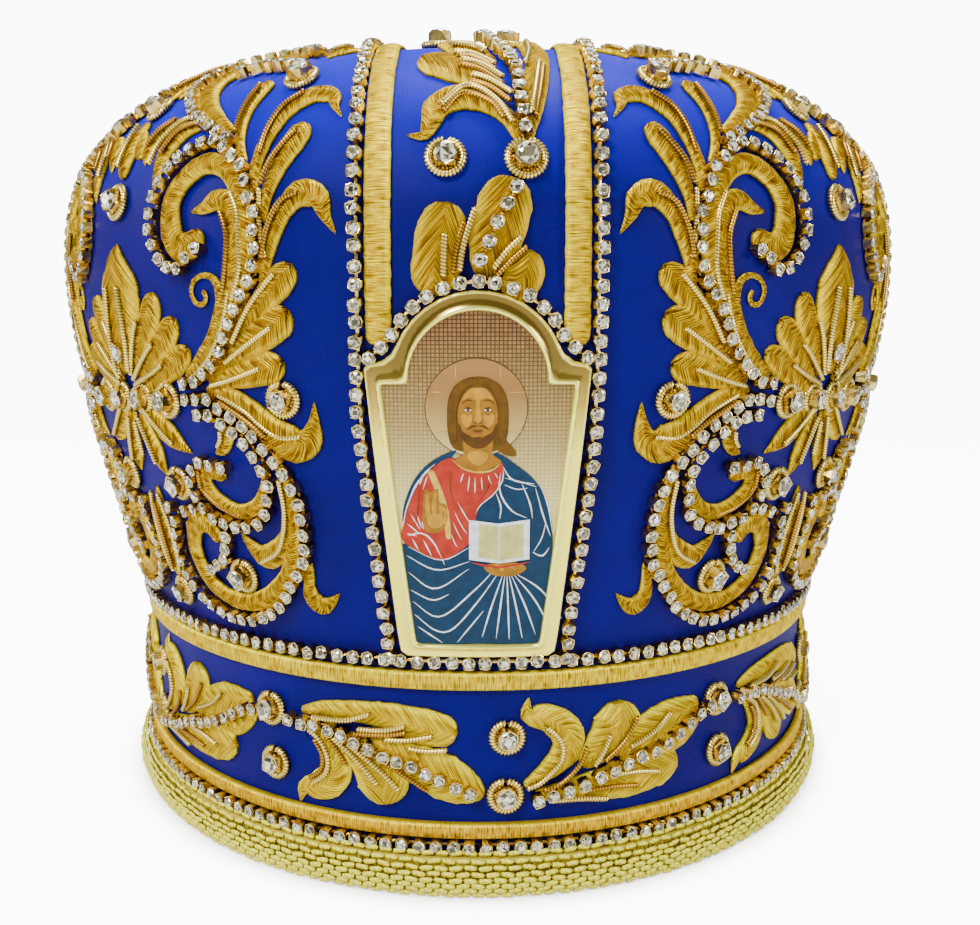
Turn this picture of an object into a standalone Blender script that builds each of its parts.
"""A bishop's mitre: an oval, padded cloth crown with embroidered relief, on an upright head band.

Metres, +Z up, standing on its rim at Z = 0. The front looks along -Y.
Sizes below are millimetres and are scaled once, in the functions that place points.
"""
import math

import bmesh
import bpy
from mathutils import Vector

MM = 0.001
OBJECT_NAME = "bishop_mitre"

# ---------------------------------------------------------------- driving dimensions
GAP = 0.3                      # clearance between neighbouring pieces
RING_SEGMENTS = 32             # facets round the oval
OVAL_AT_BAND = 1.15            # depth over width of the plan at the band
OVAL_AT_CROWN = 1.09           # and of the plan where the crown is widest
OVAL_FADE = (47.2, 107.2)      # heights between which the first turns into the second

BAND_BOTTOM_RADIUS = 92.4      # half widths of the head band's outer face
BAND_TOP_RADIUS = 93.2
BAND_HEIGHT = 47.6
BAND_WALL = 3.2
CROWN_WALL = 3.0
CROWN_FOOT = BAND_HEIGHT + GAP

# The crown's outer face, from the seam with the band to the top.
CROWN_PROFILE = (
    # half width, height
    (92.8, CROWN_FOOT),
    (100.8, 74.0),
    (108.4, 103.0),
    (111.8, 133.0),
    (109.4, 152.0),
    (102.0, 164.5),
    (92.0, 172.5),
    (78.0, 178.4),
    (45.0, 183.6),
    (0.0, 186.0),
)

BRAID_RADIUS = 96.0
BRAID_TOP = 8.1
RIM_CHAIN_HEIGHT = 9.85
JUNCTION_CHAIN_HEIGHT = 48.95
CHAIN_RADIUS = 1.4
CHAIN_LIFT = GAP + CHAIN_RADIUS + 0.05
TUBE_RESOLUTION = 1            # six sides
LOWER_CORD = (11.6, 14.9)      # heights of its two edges
UPPER_BAND = (42.9, 47.1)
BAND_TRIM_DEPTH = 1.9

STRIP_HEADINGS = (0, 90, 180, 270)
STRIP_NAMES = ("front", "right", "back", "left")
STRIP_CHAIN_ACROSS = 23.6      # from the strip's middle to each chain
STRIP_CHAIN_FOOT = 3.2         # how far above the crown's foot the chains begin
STRIP_BAND_ACROSS = 19.0       # and to the middle of each gold band
STRIP_BAND_WIDTH = 5.2
STRIP_BAND_DEPTH = 1.8
TOP_RING_RADIUS = 34.0
PANEL_HEADINGS = (-45, 45, 135, 225)
PANEL_NAMES = ("front_left", "front_right", "back_right", "back_left")
PANEL_MM_PER_DEGREE = 1.9      # width of a degree on a panel

ICON_FOOT = (15.6, 3.6)        # half width and run of the icon frame's lower corners
ICON_SHOULDER = (21.6, 64.8)   # and of its upper ones
ICON_ARCH_RADIUS = 16.3
ICON_ARCH_CENTRE = 63.2
ICON_FRAME_WIDTH = 3.3
ICON_FRAME_DEPTH = 1.9
ICON_PLATE_DEPTH = 0.9
ICON_LIFT = 0.5                # keeps both clear of the crown's facets
RELIEF_LIFT = 0.45             # keeps the flat-bottomed relief clear of the crown's facets
RELIEF_DEPTH = 2.4
SLAB_REACH = 400.0             # wider than any drawing, which it planes to one depth

GARLAND_COUNT = 6
GARLAND_START = -47.3          # arc length from the front to the first garland's high stone


# ---------------------------------------------------------------- curves and surfaces
def smooth(points, steps):
    """Points of a Catmull-Rom curve through the given ones, `steps` to each stretch."""
    first = [2 * a - b for a, b in zip(points[0], points[1])]
    last = [2 * a - b for a, b in zip(points[-1], points[-2])]
    chain = [first, *points, last]
    curve = []
    for before, start, end, after in zip(chain, chain[1:], chain[2:], chain[3:]):
        for step in range(steps):
            t = step / steps
            curve.append(tuple(
                0.5 * (2 * p1 + (p2 - p0) * t + (2 * p0 - 5 * p1 + 4 * p2 - p3) * t ** 2
                       + (3 * p1 - p0 - 3 * p2 + p3) * t ** 3)
                for p0, p1, p2, p3 in zip(before, start, end, after)))
    curve.append(tuple(points[-1]))
    return curve


def running_lengths(points):
    """Distance along a polyline at each of its points."""
    lengths = [0.0]
    for start, end in zip(points, points[1:]):
        lengths.append(lengths[-1] + math.dist(start, end))
    return lengths


def look_up(value, keys, rows):
    """Interpolates between the rows at a value of the rising keys."""
    value = min(max(value, keys[0]), keys[-1])
    for index in range(len(keys) - 1):
        if value <= keys[index + 1]:
            part = (value - keys[index]) / (keys[index + 1] - keys[index])
            return [a + (b - a) * part for a, b in zip(rows[index], rows[index + 1])]
    return list(rows[-1])


MERIDIAN = smooth(CROWN_PROFILE, 10)
MERIDIAN_RUN = running_lengths(MERIDIAN)


def oval(height):
    """Depth over width of the plan at a height."""
    part = (height - OVAL_FADE[0]) / (OVAL_FADE[1] - OVAL_FADE[0])
    return OVAL_AT_BAND + (OVAL_AT_CROWN - OVAL_AT_BAND) * min(max(part, 0.0), 1.0)


def oval_point(half_width, height, angle):
    """A point of the plan; the angle is in degrees from the front, positive towards +X."""
    turn = math.radians(angle)
    return Vector((half_width * math.sin(turn), -oval(height) * half_width * math.cos(turn), height))


def crown_face(angle, run):
    half_width, height = look_up(run, MERIDIAN_RUN, MERIDIAN)
    return oval_point(half_width, height, angle)


def crown_point(angle, run, lift):
    """A point `lift` above the crown, `run` up its meridian from the seam, in metres."""
    around = crown_face(angle + 0.5, run) - crown_face(angle - 0.5, run)
    upward = crown_face(angle, run + 0.5) - crown_face(angle, run - 0.5)
    return (crown_face(angle, run) + lift * around.cross(upward).normalized()) * MM


def strip_point(heading, across, run, lift):
    """A point on a strip, which keeps its width in plan right up to the top."""
    half_width, height = look_up(run, MERIDIAN_RUN, MERIDIAN)
    half_axis = half_width * (oval(height) if heading in (90, 270) else 1.0)
    return crown_point(heading + math.degrees(math.asin(across / half_axis)), run, lift)


def panel_point(heading, across, run, lift):
    return crown_point(heading + across / PANEL_MM_PER_DEGREE, run, lift)


def band_face(angle, height):
    part = height / BAND_HEIGHT
    return oval_point(BAND_BOTTOM_RADIUS + (BAND_TOP_RADIUS - BAND_BOTTOM_RADIUS) * part, height, angle)


BAND_ANGLES = [(float(angle),) for angle in range(-180, 541)]
BAND_ARCS = running_lengths([tuple(band_face(angle, BAND_HEIGHT / 2)) for (angle,) in BAND_ANGLES])
BAND_ARC_AT_FRONT = BAND_ARCS[180]
BAND_GIRTH = BAND_ARCS[540] - BAND_ARC_AT_FRONT
ANGLE_KEYS = [angle for (angle,) in BAND_ANGLES]
BAND_ARC_ROWS = [(arc,) for arc in BAND_ARCS]


def band_point(arc, height, lift):
    """A point on the band, by arc length from the front, positive towards +X."""
    angle = look_up(arc + BAND_ARC_AT_FRONT, BAND_ARCS, BAND_ANGLES)[0]
    around = band_face(angle + 0.5, height) - band_face(angle - 0.5, height)
    outward = around.cross(Vector((0, 0, 1))).normalized()
    return (band_face(angle, height) + lift * outward) * MM


def run_at_half_width(half_width):
    """How far up the meridian the crown, past its shoulder, narrows to a half width."""
    for run, (width, height) in zip(MERIDIAN_RUN, MERIDIAN):
        if width < half_width and height > CROWN_PROFILE[5][1]:
            return run
    return MERIDIAN_RUN[-1]


# ---------------------------------------------------------------- modelling helpers
def collection(name):
    made = bpy.data.collections.new(name)
    bpy.context.scene.collection.children.link(made)
    return made


for leftover in list(bpy.data.objects):
    bpy.data.objects.remove(leftover)
PARTS = collection(OBJECT_NAME)
WORKBENCH = collection("cutters")

FINISHES = {
    # finish: colour, roughness, metallic
    "blue_cloth": ((0.012, 0.015, 0.42), 0.55, 0.0),
    "gold_satin": ((0.80, 0.55, 0.06), 0.4, 0.3),
    "gold_braid": ((0.80, 0.68, 0.25), 0.4, 0.5),
    "stone_chain": ((0.82, 0.80, 0.70), 0.15, 0.6),
    "brass": ((0.90, 0.76, 0.45), 0.15, 1.0),
    "icon": ((0.35, 0.33, 0.28), 0.35, 0.4),
}


def keep(piece, name, finish):
    """Names a finished object, gives it its own material and files it with the mitre's parts."""
    colour, roughness, metallic = FINISHES[finish]
    material = bpy.data.materials.new(name)
    material.use_nodes = True
    shader = material.node_tree.nodes["Principled BSDF"]
    shader.inputs["Base Color"].default_value = (*colour, 1.0)
    shader.inputs["Roughness"].default_value = roughness
    shader.inputs["Metallic"].default_value = metallic
    piece.name = name
    piece.data.name = name
    piece.data.materials.clear()
    piece.data.materials.append(material)
    WORKBENCH.objects.unlink(piece)
    PARTS.objects.link(piece)


def bench(name, data):
    """A new object on the workbench."""
    piece = bpy.data.objects.new(name, data)
    WORKBENCH.objects.link(piece)
    return piece


def baked(piece, weld):
    """Replaces a piece by the mesh that the viewport shows, its doubles welded."""
    bpy.context.view_layer.update()
    mesh = bpy.data.meshes.new_from_object(piece.evaluated_get(bpy.context.evaluated_depsgraph_get()))
    mesh.transform(piece.matrix_world)
    bpy.data.objects.remove(piece)
    shape = bmesh.new()
    shape.from_mesh(mesh)
    bmesh.ops.remove_doubles(shape, verts=shape.verts, dist=weld)
    bmesh.ops.recalc_face_normals(shape, faces=shape.faces)
    shape.to_mesh(mesh)
    shape.free()
    return bench("baked", mesh)


def lathe(profile, segments, closed=False):
    """Turns rows of (radius, height) round Z."""
    mesh = bpy.data.meshes.new("profile")
    edges = [(index, index + 1) for index in range(len(profile) - 1)]
    if closed:
        edges.append((len(profile) - 1, 0))
    mesh.from_pydata([(radius, 0, height) for radius, height in profile], edges, [])
    piece = bench("profile", mesh)
    screw = piece.modifiers.new("turn", "SCREW")
    screw.steps = segments
    screw.render_steps = segments
    screw.use_merge_vertices = True
    screw.merge_threshold = 0.0001
    return baked(piece, 0.0001)


def turned(profile, closed=False, segments=RING_SEGMENTS):
    """Turns a profile in millimetres, then draws the circle out to the oval, in metres."""
    piece = lathe(profile, segments, closed)
    for vertex in piece.data.vertices:
        vertex.co.y *= oval(vertex.co.z)
        vertex.co *= MM
    return piece


def shell(profile, wall):
    """A turned face with its wall inside it."""
    piece = turned(profile)
    solidify = piece.modifiers.new("wall", "SOLIDIFY")
    solidify.thickness = wall * MM
    solidify.offset = -1.0
    return piece


def tube(points, closed=False):
    """The plain tube that a chain of stones fills, through points in metres."""
    curve = bpy.data.curves.new("tube", "CURVE")
    curve.dimensions = "3D"
    curve.bevel_depth = CHAIN_RADIUS * MM
    curve.bevel_resolution = TUBE_RESOLUTION
    curve.use_fill_caps = not closed
    spline = curve.splines.new("POLY")
    spline.points.add(len(points) - 1)
    spline.use_cyclic_u = closed
    for target, point in zip(spline.points, points):
        target.co = (*point, 1.0)
    return baked(bench("tube", curve), 0.000005)


def prism(outlines, half_depth):
    """Flat outlines in millimetres, the second one a hole, standing half_depth either side of Z = 0."""
    curve = bpy.data.curves.new("outline", "CURVE")
    curve.dimensions = "2D"
    curve.fill_mode = "BOTH"
    curve.extrude = half_depth
    for outline in outlines:
        spline = curve.splines.new("POLY")
        spline.points.add(len(outline) - 1)
        spline.use_cyclic_u = True
        for target, (x, y) in zip(spline.points, outline):
            target.co = (x, y, 0.0, 1.0)
    return baked(bench("outline", curve), 0.001)


def booled(piece, cutter, operation):
    """Joins or cuts a piece with another, which it uses up."""
    modifier = piece.modifiers.new(operation, "BOOLEAN")
    modifier.operation = operation
    modifier.object = cutter
    piece = baked(piece, 0.0001)
    bpy.data.objects.remove(cutter)
    return piece


def laid(piece, place, lift, across_cuts, run_cuts, depth=0.0):
    """Creases a flat piece along the facets below it, up to `depth` from its back, and lays it on them."""
    shape = bmesh.new()
    shape.from_mesh(piece.data)
    bmesh.ops.dissolve_limit(shape, angle_limit=math.radians(2), verts=shape.verts, edges=shape.edges)
    bottom = min(vertex.co.z for vertex in shape.verts)
    top_of_crease = bottom + depth + 0.01
    for axis, cuts in enumerate((across_cuts, run_cuts)):
        low = min(vertex.co[axis] for vertex in shape.verts)
        high = max(vertex.co[axis] for vertex in shape.verts)
        for cut in cuts:
            if low + 0.5 < cut < high - 0.5:
                spot, direction = Vector((0, 0, 0)), Vector((0, 0, 0))
                spot[axis], direction[axis] = cut, 1.0
                creased = [face for face in shape.faces if max(v.co.z for v in face.verts) < top_of_crease]
                parts = {part for face in creased for part in (face, *face.edges, *face.verts)}
                bmesh.ops.bisect_plane(shape, geom=list(parts), plane_co=spot, plane_no=direction, dist=0.001)
    bmesh.ops.triangulate(shape, faces=shape.faces)
    for vertex in shape.verts:
        across, run, height = vertex.co
        vertex.co = place(across, run, lift + height - bottom)
    shape.to_mesh(piece.data)
    shape.free()
    return piece


CROWN_ROWS = [run for run, row in zip(MERIDIAN_RUN, MERIDIAN) if row in CROWN_PROFILE]
FACET = 360 / RING_SEGMENTS
PANEL_CUTS = [PANEL_MM_PER_DEGREE * FACET * step for step in range(-3, 4)]
STRIP_CUTS = [9.0 * step for step in range(-1, 2)]


# ---------------------------------------------------------------- embroidery
def stroke_outline(line):
    """The outline of one stroke, which ends in a point or is rounded off."""
    left, right = [], []
    for index, (x, y, half) in enumerate(line):
        back = line[max(index - 1, 0)]
        ahead = line[min(index + 1, len(line) - 1)]
        along = Vector((ahead[0] - back[0], ahead[1] - back[1])).normalized()
        side = Vector((-along.y, along.x)) * half
        left.append((x + side.x, y + side.y))
        right.append((x - side.x, y - side.y))
    tip_x, tip_y, tip_half = line[-1]
    if tip_half < 0.3:
        return [*left[:-1], (tip_x, tip_y), *right[-2::-1]]
    bulge = along * tip_half * 0.8
    return [*left, (tip_x + bulge.x, tip_y + bulge.y), *right[::-1]]


def stone(across, run, radius):
    """A cut stone in its cup: an upright side, eight sloping facets and a table."""
    foot, girdle, table = -RELIEF_DEPTH / 2 + 0.4, RELIEF_DEPTH / 2 + 0.9, RELIEF_DEPTH / 2 + 1.9
    piece = lathe(((0, table), (radius * 0.55, table), (radius, girdle), (radius, foot), (0, foot)), 8)
    for vertex in piece.data.vertices:
        vertex.co.x += across
        vertex.co.y += run
    return piece


def applique(strokes, stones, place, across_cuts, run_cuts, side=1):
    """One body of embroidered strokes, with the stones set on it; side -1 mirrors the drawing."""
    body = None
    for index, stroke in enumerate(strokes):
        rows = [(side * across, run, half) for across, run, half in stroke]
        piece = prism([stroke_outline(rows)], RELIEF_DEPTH / 2 + 1.0 + 0.05 * index)
        body = booled(body, piece, "UNION") if body else piece
    half = RELIEF_DEPTH / 2
    slab = lathe(((0, half), (SLAB_REACH, half), (SLAB_REACH, -half), (0, -half)), 4)
    body = booled(body, slab, "INTERSECT")
    for across, run, radius in stones:
        body = booled(body, stone(side * across, run, radius), "UNION")
    return laid(body, place, RELIEF_LIFT, across_cuts, run_cuts)


# Each stroke is rows of across, run and half width, in millimetres from the middle of its
# panel or strip and from the crown's foot. A garland's are from its start and from the rim.
SCROLL = (
    # stem and upper volute
    ((23, 60, 2.0), (36, 75, 3.2), (41.5, 90, 3.8), (38, 103, 4.3), (27.5, 107, 4.6), (18, 98, 4.8),
     (19.5, 88.5, 4.4), (28, 89, 3.0)),
    # two lobes of the fan
    ((30, 64.5, 2.2), (43.5, 66.5, 3.2)),
    ((34, 73, 2.2), (46.5, 80, 3.2)),
    # hooked leaves up the outer side
    ((43.5, 86, 2.0), (51.5, 97, 3.0), (59, 90.6, 0.1)),
    ((40.5, 104, 2.4), (48.5, 119, 2.8), (58, 114.2, 0.1)),
    # the band over the shoulder
    ((34, 107, 2.8), (20, 120.5, 3.6), (5.0, 127.6, 3.4)),
    # lower volute
    ((24, 60, 2.2), (38, 51, 3.4), (45.5, 34, 3.2), (40, 16, 4.0), (27, 9.8, 4.6), (12, 14.5, 4.9),
     (11.5, 28.5, 4.2), (20, 28.5, 2.6)),
    # and the small one in its arm
    ((39, 48, 2.2), (35.5, 34, 3.2), (22, 34, 3.8), (26.5, 42.5, 2.6)),
    # the lower hooked leaf, the leaf in the volute and the foot
    ((36, 56, 2.0), (50, 48.2, 3.8), (52.7, 57.8, 0.1)),
    ((44.5, 31, 1.8), (37, 24.4, 2.9), (29, 27.8, 0.1)),
    ((45, 20, 2.2), (52.5, 14.6, 0.1)),
)
HALF_PALMETTE = (
    ((3, 62, 2.6), (11.5, 76, 3.2)),
    ((5, 58, 2.6), (15, 68, 3.0)),
    ((4, 55, 2.0), (11, 49.5, 2.8), (16.5, 46, 0.1)),
    ((1.5, 53, 1.8), (6.5, 39, 0.1)),
)
PALMETTE = (
    ((0, 57, 3.0), (0, 80, 7.2), (0, 90, 0.1)),
    ((-13.0, 57, 2.7), (13.0, 57, 2.7)),
    *HALF_PALMETTE,
    *(tuple((-across, run, half) for across, run, half in rows) for rows in HALF_PALMETTE),
)
PALMETTE_STONES = ((-9.4, 57, 2.6), (0.0, 57, 2.6), (9.4, 57, 2.6))
STRIP_SPRAY = (
    # the leaves over the icon
    ((-6.5, 84, 4.6), (-6.4, 91.5, 5.2)),
    ((2.0, 84.5, 5.0), (5.5, 93, 4.8), (9.0, 104, 1.0)),
    # the hooked leaf, the lobes and the tall leaves of the upper spray
    ((8.8, 110, 2.0), (0.5, 117.0, 2.9), (-8.5, 114, 2.8), (-13, 109, 0.1)),
    ((9.2, 104, 3.0), (11.2, 124, 3.2), (8.5, 144, 3.2)),
    ((8, 117, 1.8), (-4, 128.7, 4.8)),
    ((6, 125, 2.6), (-5, 137, 3.2)),
    ((7, 122, 2.2), (1, 147, 2.6)),
)
STRIP_STONES = ((9.0, 106.3, 3.0), (-8.0, 109.2, 3.0))
GARLAND = (
    # falling spray: its hooked leaf, lower lobe, tip and upper lobe
    ((3, 34.6, 1.6), (14.6, 29.0, 2.5), (15.0, 20.9, 3.2), (7.8, 15.6, 0.1)),
    ((15, 32.5, 1.8), (26.5, 22.2, 4.0)),
    ((12, 33.0, 2.2), (34, 27.5, 4.2), (50.5, 20.6, 1.4)),
    ((2.5, 35.4, 1.6), (20, 36.3, 2.6), (38, 34.4, 3.6)),
    # rising spray: its hooked leaf, two upper lobes, lower lobe and stem
    ((55, 20.8, 1.6), (64.8, 27.0, 2.6), (63.0, 36.4, 2.6), (57.9, 40.6, 0.1)),
    ((67, 24.5, 1.8), (75.9, 33.6, 3.7)),
    ((77, 27, 2.2), (93.5, 35.0, 2.0)),
    ((61, 19.9, 1.6), (82.6, 21.4, 4.0)),
    ((55, 20.2, 1.6), (76, 24.6, 2.2), (100.2, 33.8, 1.4)),
)
GARLAND_STONES = ((0.0, 34.5, 3.2), (53.0, 20.5, 3.2))


# ---------------------------------------------------------------- the head band and its trims
def ring_trim(name, finish, low, high, depth):
    """A padded trim sewn round the band, flat behind and rounded off in front."""
    back_low = BAND_BOTTOM_RADIUS + (BAND_TOP_RADIUS - BAND_BOTTOM_RADIUS) * high / BAND_HEIGHT + GAP
    rows = ((back_low, high), (back_low + depth, high - 0.9), (back_low + depth, low + 0.9), (back_low, low))
    keep(turned(rows, closed=True), name, finish)


def ring_chain(name, half_width, height):
    angles = [360 / RING_SEGMENTS * step for step in range(RING_SEGMENTS)]
    route = [oval_point(half_width, height, angle) * MM for angle in angles]
    keep(tube(route, closed=True), name, "stone_chain")


def head_band():
    keep(shell(((BAND_TOP_RADIUS, BAND_HEIGHT), (BAND_BOTTOM_RADIUS, 0)), BAND_WALL), "head_band", "blue_cloth")
    inside = BAND_BOTTOM_RADIUS + GAP
    rows = ((inside + 0.2, BRAID_TOP), (BRAID_RADIUS - 1.2, BRAID_TOP), (BRAID_RADIUS, BRAID_TOP - 1.8),
            (BRAID_RADIUS, 1.0), (BRAID_RADIUS - 0.6, 0.0), (inside, 0.0))
    keep(turned(rows, closed=True), "rim_braid", "gold_braid")
    ring_trim("lower_gold_cord", "gold_satin", *LOWER_CORD, BAND_TRIM_DEPTH)
    ring_trim("upper_gold_band", "gold_satin", *UPPER_BAND, BAND_TRIM_DEPTH)
    ring_chain("rim_chain", BAND_BOTTOM_RADIUS + 0.2 + GAP + CHAIN_RADIUS, RIM_CHAIN_HEIGHT)
    ring_chain("junction_chain", BAND_TOP_RADIUS + GAP + CHAIN_RADIUS, JUNCTION_CHAIN_HEIGHT)


# ---------------------------------------------------------------- the crown
def crown():
    keep(shell(CROWN_PROFILE[::-1], CROWN_WALL), "crown_shell", "blue_cloth")
    run = run_at_half_width(TOP_RING_RADIUS)
    route = [crown_point(angle, run, CHAIN_LIFT) for angle in range(0, 360, 20)]
    keep(tube(route, closed=True), "top_chain", "stone_chain")


# ---------------------------------------------------------------- the strips and their icons
def icon_outline(inset):
    """The icon's outline, a tapering plate with square shoulders and a round head, drawn in by inset."""
    half_foot, foot = ICON_FOOT[0] - inset, ICON_FOOT[1] + inset
    half_shoulder, shoulder = ICON_SHOULDER[0] - inset, ICON_SHOULDER[1] - inset
    radius = ICON_ARCH_RADIUS - inset
    corner = 1.5 if inset == 0 else 0.4
    half = [(half_foot - corner, foot), (half_foot, foot + corner), (half_shoulder, shoulder - corner),
            (half_shoulder - corner, shoulder)]
    if inset == 0:
        half += [(radius + 2.2, shoulder), (radius - 0.2, shoulder + 1.6)]
        start = 24
    else:
        half += [(radius, shoulder)]
        start = 15
    steps = 4
    for step in range(steps):
        angle = math.radians(start + (90 - start) * step / steps)
        half.append((radius * math.cos(angle), ICON_ARCH_CENTRE + radius * math.sin(angle)))
    return [*half, (0, ICON_ARCH_CENTRE + radius), *[(-across, run) for across, run in half[::-1]]]


def strip(name, heading):
    def place(across, run, lift):
        return strip_point(heading, across, run, lift)

    top_run = run_at_half_width(TOP_RING_RADIUS + 2 * CHAIN_RADIUS)
    rows_up = [run for run in CROWN_ROWS if ICON_SHOULDER[1] + 8 < run < top_run - 4]
    for side, side_name in ((-1, "left"), (1, "right")):
        inner = side * (STRIP_BAND_ACROSS - STRIP_BAND_WIDTH / 2)
        outer = side * (STRIP_BAND_ACROSS + STRIP_BAND_WIDTH / 2)
        outline = [(inner, 73.6), (outer, 69.6), (outer, top_run), (inner, top_run)]
        band = laid(prism([outline], STRIP_BAND_DEPTH / 2), place, RELIEF_LIFT, (), CROWN_ROWS, STRIP_BAND_DEPTH)
        keep(band, f"{name}_gold_band_{side_name}", "gold_satin")
        clear = GAP + CHAIN_RADIUS + 0.3
        slant = (ICON_SHOULDER[0] - ICON_FOOT[0]) / (ICON_SHOULDER[1] - ICON_FOOT[1])
        route = [(ICON_FOOT[0] + clear + slant * (run - ICON_FOOT[1]), run)
                 for run in (STRIP_CHAIN_FOOT, CROWN_ROWS[1], CROWN_ROWS[2], ICON_SHOULDER[1])]
        route += [(STRIP_CHAIN_ACROSS, run) for run in [*rows_up, top_run]]
        chain = tube([place(side * across, run, CHAIN_LIFT) for across, run in route])
        keep(chain, f"{name}_chain_{side_name}", "stone_chain")

    frame = prism([icon_outline(0), icon_outline(ICON_FRAME_WIDTH)], ICON_FRAME_DEPTH / 2)
    frame = laid(frame, place, ICON_LIFT, STRIP_CUTS, CROWN_ROWS, ICON_FRAME_DEPTH)
    keep(frame, f"{name}_icon_frame", "brass")
    plate = prism([icon_outline(ICON_FRAME_WIDTH + GAP)], ICON_PLATE_DEPTH / 2)
    plate = laid(plate, place, ICON_LIFT, STRIP_CUTS, CROWN_ROWS, ICON_PLATE_DEPTH)
    keep(plate, f"{name}_icon_plate", "icon")
    radius = ICON_ARCH_RADIUS + GAP + CHAIN_RADIUS + 0.2
    arch = [(radius * math.cos(math.radians(angle)), ICON_ARCH_CENTRE + radius * math.sin(math.radians(angle)))
            for angle in range(25, 156, 26)]
    route = [(20.4, 67.2), *arch, (-20.4, 67.2)]
    keep(tube([place(across, run, CHAIN_LIFT) for across, run in route]), f"{name}_icon_chain", "stone_chain")
    spray = applique(STRIP_SPRAY, STRIP_STONES, place, STRIP_CUTS, CROWN_ROWS)
    keep(spray, f"{name}_spray", "gold_satin")


# ---------------------------------------------------------------- the panels and the band's garlands
def panel(name, heading):
    def place(across, run, lift):
        return panel_point(heading, across, run, lift)

    for side, side_name in ((-1, "left"), (1, "right")):
        scroll = applique(SCROLL, (), place, PANEL_CUTS, CROWN_ROWS, side)
        keep(scroll, f"{name}_scroll_{side_name}", "gold_satin")
    palmette = applique(PALMETTE, PALMETTE_STONES, place, PANEL_CUTS, CROWN_ROWS)
    keep(palmette, f"{name}_palmette", "gold_satin")


def garland(number):
    start = GARLAND_START + number * BAND_GIRTH / GARLAND_COUNT

    def place(across, height, lift):
        return band_point(start + across, height, lift)

    steps = range(round(-180 / FACET), round(540 / FACET))
    facets = [look_up(step * FACET, ANGLE_KEYS, BAND_ARC_ROWS)[0] - BAND_ARC_AT_FRONT - start for step in steps]
    piece = applique(GARLAND, GARLAND_STONES, place, facets, ())
    keep(piece, f"garland_{number + 1}", "gold_satin")


def build_mitre():
    head_band()
    crown()
    for name, heading in zip(STRIP_NAMES, STRIP_HEADINGS):
        strip(name, heading)
    for name, heading in zip(PANEL_NAMES, PANEL_HEADINGS):
        panel(name, heading)
    for number in range(GARLAND_COUNT):
        garland(number)


build_mitre()
